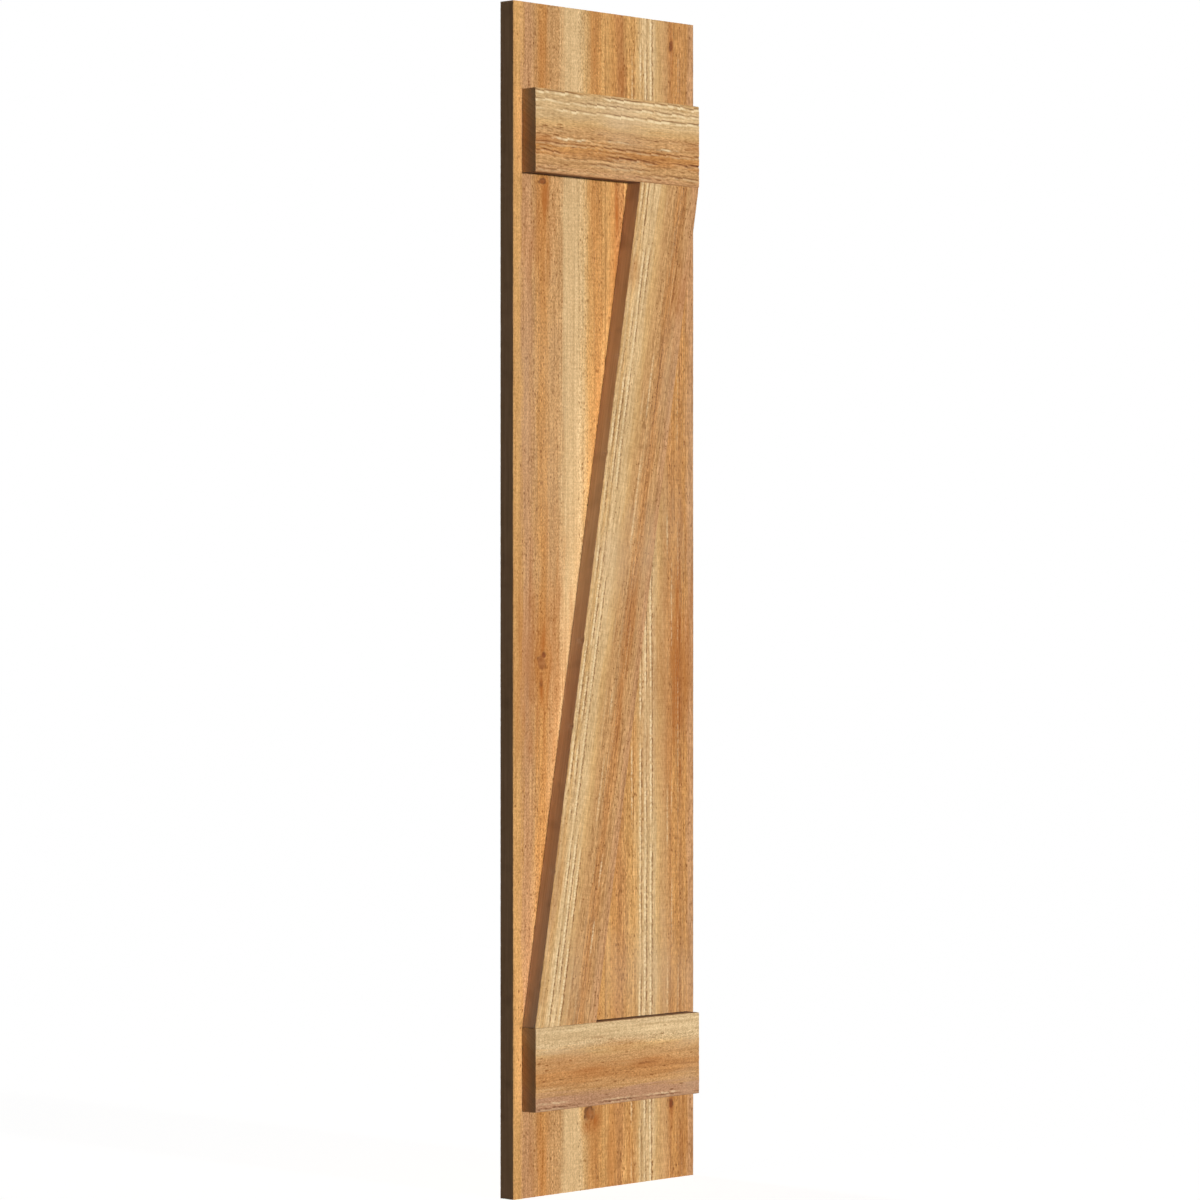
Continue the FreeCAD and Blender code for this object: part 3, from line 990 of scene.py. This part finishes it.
def cedar_face(name, figure):
    """A rough-sawn face."""
    g = WoodGraph(name, figure)
    streaks = g.pattern(across=2.0, along=55, shift=5, detail=2.0)
    fibre = g.pattern(across=1.2, along=figure.fibre, shift=9, detail=2.0)
    colour = add_marks(g, add_flecks(g, sawn_colour(g, streaks, fibre)), streaks)
    return g.finish(colour, g.mean(streaks, fibre), FACE_GRAIN_DEPTH)


def cedar_edge(name, figure, tone, corner_shade):
    """A long edge: smoother than the face and of one tone, with fine streaks, and with painted shade towards
    the back, as strong as corner_shade.
    """
    g = WoodGraph(name, figure)
    feather = g.pattern(across=7, along=55, shift=1)
    streaks = g.pattern(across=1.6, along=70, shift=21, detail=2.0)
    stripes = g.pattern(across=6, along=35, shift=23)
    stains = g.pattern(across=40, along=22, shift=25)
    colour = g.mix(0.2, tone, g.bands((feather, 4.0)))
    colour = g.shade(colour, streaks, amount=0.13)
    colour = g.shade(colour, stripes, amount=0.06)
    colour = g.mix(g.spread(stains, 0.56, 0.80, 0.0, 0.35), colour, UMBER)
    # Painted shade, growing towards where the edge meets the board.
    colour = g.mix(g.spread(g.depth, *CORNER_DEPTHS, 0.0, corner_shade), colour, PAINTED_CORNER_SHADE)
    return g.finish(colour, streaks, EDGE_GRAIN_DEPTH)


def cedar_end(name, figure, tone):
    """End grain: growth rings that slant through the plank, and pores."""
    g = WoodGraph(name, figure)
    feather = g.pattern(across=7, along=55, shift=1)
    rings = g.pattern(across=2.4, along=60, shift=31, detail=2.0, through=60)
    pores = g.pattern(across=0.9, along=4, shift=33)
    colour = g.mix(0.45, tone, g.bands((feather, 4.0)))
    colour = g.shade(colour, rings, amount=0.16)
    colour = g.shade(colour, pores, amount=0.13)
    return g.finish(colour, g.mean(rings, pores), END_GRAIN_DEPTH)


def zinc_plate():
    """Zinc-plated steel with a faint yellow cast, duller in patches."""
    g = Graph("zinc_plate")
    place = g.node("ShaderNodeTexCoord").outputs["Object"]
    inputs = {"Vector": place, "Scale": 900.0, "Detail": 3.0}
    blotches = g.node("ShaderNodeTexNoise", inputs).outputs["Fac"]
    g.feed(g.shader.inputs["Base Color"], g.ramp(blotches, [(0.3, ZINC_DULL), (0.7, ZINC_BRIGHT)]))
    g.feed(g.shader.inputs["Roughness"], g.spread(blotches, 0.3, 0.7, 0.5, 0.68))
    g.shader.inputs["Metallic"].default_value = 1.0
    return g.material


# The shutter's planks, at their nodes' own boxes.
def screw_nodes():
    """The screws' nodes by their names."""
    return {name: node for name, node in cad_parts.items() if "_screw_" in name}


def screw_holes(low, high, middle, across, along):
    """Where the screws pass through a board, in its own coordinates."""
    holes = []
    for name in screw_nodes():
        screw_low, screw_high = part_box(name)
        centre = (screw_low + screw_high) / 2
        if low.x < centre.x < high.x:
            holes.append(((centre - middle).dot(across), (centre - middle).dot(along)))
    return holes


def front_middle(low, high):
    """The middle of a box's front."""
    return Vector(((low.x + high.x) / 2, low.y, (low.z + high.z) / 2))


def board(node, figure):
    """An upright board, counted across from its left edge."""
    low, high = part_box(node)
    middle = front_middle(low, high)
    across, along = Vector((1, 0, 0)), Vector((0, 0, 1))
    size = high - low
    holes = screw_holes(low, high, middle, across, along)
    return Plank(node, middle, across, along, size.x, size.z, size.y, figure, BOARD_CELL, screws=holes)


def batten(node, figure):
    """A level batten, counted across from its top edge."""
    low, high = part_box(node)
    middle = front_middle(low, high)
    across, along = Vector((0, 0, -1)), Vector((1, 0, 0))
    size = high - low
    return Plank(node, middle, across, along, size.z, size.x, size.y, figure, BATTEN_CELL)


def brace(node, figure):
    """The brace leans so that its width just fits between opposite corners of its box."""
    low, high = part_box(node)
    size = high - low
    lean = math.acos(BRACE_WIDTH / math.hypot(size.x, size.z)) - math.atan2(size.z, size.x)
    return Plank(
        node,
        middle=front_middle(low, high),
        across=Vector((math.cos(lean), 0, -math.sin(lean))),
        along=Vector((math.sin(lean), 0, math.cos(lean))),
        width=BRACE_WIDTH,
        length=size.z / math.cos(lean),
        thickness=size.y,
        figure=figure,
        cell=BRACE_CELL,
        end_slope=math.tan(lean),
        chips=BRACE_CHIPS,
    )


def dress(plank, edge_tone, end_tone, corner_shade=0.0):
    """Replaces a plank's plain solid by its sawn mesh."""
    piece = build_plank(plank)
    piece.data.materials.append(cedar_face(f"{plank.node}_face", plank.figure))
    piece.data.materials.append(cedar_edge(f"{plank.node}_edge", plank.figure, edge_tone, corner_shade))
    piece.data.materials.append(cedar_end(f"{plank.node}_end", plank.figure, end_tone))
    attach(piece, "root")
    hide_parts(plank.node)


def finish_screws():
    """Gives all screws the same zinc plating."""
    zinc = zinc_plate()
    for node in screw_nodes().values():
        node.data.materials.clear()
        node.data.materials.append(zinc)


# Stage.
def seen_directly(tree):
    """1 for what the camera, a reflection or glass sees, 0 for what lights the object."""
    path = tree.nodes.new("ShaderNodeLightPath")
    total = path.outputs["Is Camera Ray"]
    for name in ("Is Glossy Ray", "Is Transmission Ray"):
        either = tree.nodes.new("ShaderNodeMath")
        either.operation = "MAXIMUM"
        tree.links.new(total, either.inputs[0])
        tree.links.new(path.outputs[name], either.inputs[1])
        total = either.outputs[0]
    return total


def make_world():
    """White to look at, and an even low fill for the object."""
    world = bpy.data.worlds.new("studio")
    world.use_nodes = True
    bpy.context.scene.world = world
    tree = world.node_tree
    level = tree.nodes.new("ShaderNodeMapRange")
    tree.links.new(seen_directly(tree), level.inputs["Value"])
    level.inputs["To Min"].default_value = FILL_LEVEL
    level.inputs["To Max"].default_value = 1.0
    background = tree.nodes["Background"]
    background.inputs["Color"].default_value = (1, 1, 1, 1)
    tree.links.new(level.outputs[0], background.inputs["Strength"])


def floor_material():
    """Grey to the light, with a glow that only shows when it is looked at."""
    material = bpy.data.materials.new("floor")
    material.use_nodes = True
    tree = material.node_tree
    tree.nodes.remove(tree.nodes["Principled BSDF"])
    diffuse = tree.nodes.new("ShaderNodeBsdfDiffuse")
    diffuse.inputs["Color"].default_value = (FLOOR_SHADE, FLOOR_SHADE, FLOOR_SHADE, 1)
    glow = tree.nodes.new("ShaderNodeEmission")
    level = tree.nodes.new("ShaderNodeMath")
    level.operation = "MULTIPLY"
    level.inputs[1].default_value = FLOOR_GLOW
    tree.links.new(seen_directly(tree), level.inputs[0])
    tree.links.new(level.outputs[0], glow.inputs["Strength"])
    both = tree.nodes.new("ShaderNodeAddShader")
    tree.links.new(diffuse.outputs[0], both.inputs[0])
    tree.links.new(glow.outputs[0], both.inputs[1])
    tree.links.new(both.outputs[0], tree.nodes["Material Output"].inputs["Surface"])
    return material


def make_floor():
    """A pale floor under the shutter that keeps a faint shadow."""
    half = FLOOR_SIZE / 2
    height = cad_box[0][2]
    corners = [(x, y, height) for x, y in ((-half, -half), (half, -half), (half, half), (-half, half))]
    mesh = bpy.data.meshes.new("floor")
    mesh.from_pydata(corners, [], [(0, 1, 2, 3)])
    mesh.materials.append(floor_material())
    floor = bpy.data.objects.new("floor", mesh)
    bpy.context.scene.collection.objects.link(floor)


def make_sun(name, level, elevation, turn):
    """A soft far lamp. At no turn it shines at the front, and at half a turn at the back."""
    lamp = bpy.data.lights.new(name, "SUN")
    lamp.energy = level * math.pi
    lamp.angle = LAMP_SOFTNESS
    sun = bpy.data.objects.new(name, lamp)
    sun.rotation_euler = (math.pi / 2 - elevation, 0, turn)
    bpy.context.scene.collection.objects.link(sun)


def make_bounce(name, middle, run, facing, length, height):
    """A strip of light just off a wall, facing away from it, that the camera doesn't see."""
    lamp = bpy.data.lights.new(name, "AREA")
    lamp.shape = "RECTANGLE"
    lamp.size, lamp.size_y = length, height
    lamp.energy = BOUNCE_LEVEL * math.pi * length * height
    lamp.color = BOUNCE_COLOUR
    strip = bpy.data.objects.new(name, lamp)
    turn = Matrix((run, -facing.cross(run), -facing)).transposed()
    strip.matrix_world = Matrix.Translation(middle + facing * BOUNCE_OFFSET) @ turn.to_4x4()
    strip.visible_camera = False
    strip.visible_glossy = False
    bpy.context.scene.collection.objects.link(strip)


def make_bounces(slanted, level):
    """One strip beside the slanted plank's left wall, and one beside each level plank's left end."""
    half = Vector((0, slanted.thickness / 2, 0))
    wall = slanted.middle - slanted.across * slanted.width / 2 + half
    make_bounce("brace_bounce", wall, slanted.along, -slanted.across, slanted.length, slanted.thickness)
    for plank in level:
        end = plank.middle - plank.along * plank.length / 2 + half
        make_bounce(f"{plank.node}_bounce", end, plank.across, -plank.along, plank.width, plank.thickness)


def make_camera():
    """The photograph's own view: level, from the left, at the shutter's middle height."""
    data = bpy.data.cameras.new("camera")
    data.sensor_width = SENSOR_WIDTH
    data.sensor_fit = "HORIZONTAL"
    data.lens = CAMERA_FOCAL_PIXELS / PHOTO_PIXELS * SENSOR_WIDTH
    camera = bpy.data.objects.new("camera", data)
    forward = Vector((math.sin(CAMERA_YAW), math.cos(CAMERA_YAW), 0))
    right = Vector((math.cos(CAMERA_YAW), -math.sin(CAMERA_YAW), 0))
    panel_front = Vector((0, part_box("left_board")[0].y, 0))
    camera.location = panel_front - forward * CAMERA_DISTANCE + right * CAMERA_SIDESTEP
    camera.rotation_euler = (math.pi / 2, 0, -CAMERA_YAW)
    bpy.context.scene.collection.objects.link(camera)
    bpy.context.scene.camera = camera


top_batten = batten("top_batten", TOP_BATTEN)
bottom_batten = batten("bottom_batten", BOTTOM_BATTEN)
diagonal_brace = brace("diagonal_brace", BRACE)
dress(board("left_board", LEFT_BOARD), BOARD_EDGE, BOARD_END)
dress(board("right_board", RIGHT_BOARD), BOARD_EDGE, BOARD_END)
dress(top_batten, BATTEN_EDGE, TRIM_END, corner_shade=1.0)
dress(bottom_batten, BATTEN_EDGE, TRIM_END, corner_shade=1.0)
dress(diagonal_brace, BRACE_EDGE, TRIM_END)
finish_screws()

make_world()
make_floor()
make_sun("key", KEY_LEVEL, KEY_ELEVATION, 0.0)
make_sun("back", BACK_LEVEL, BACK_ELEVATION, math.pi)
make_bounces(diagonal_brace, (top_batten, bottom_batten))
make_camera()
bpy.context.scene.view_settings.view_transform = "Standard"
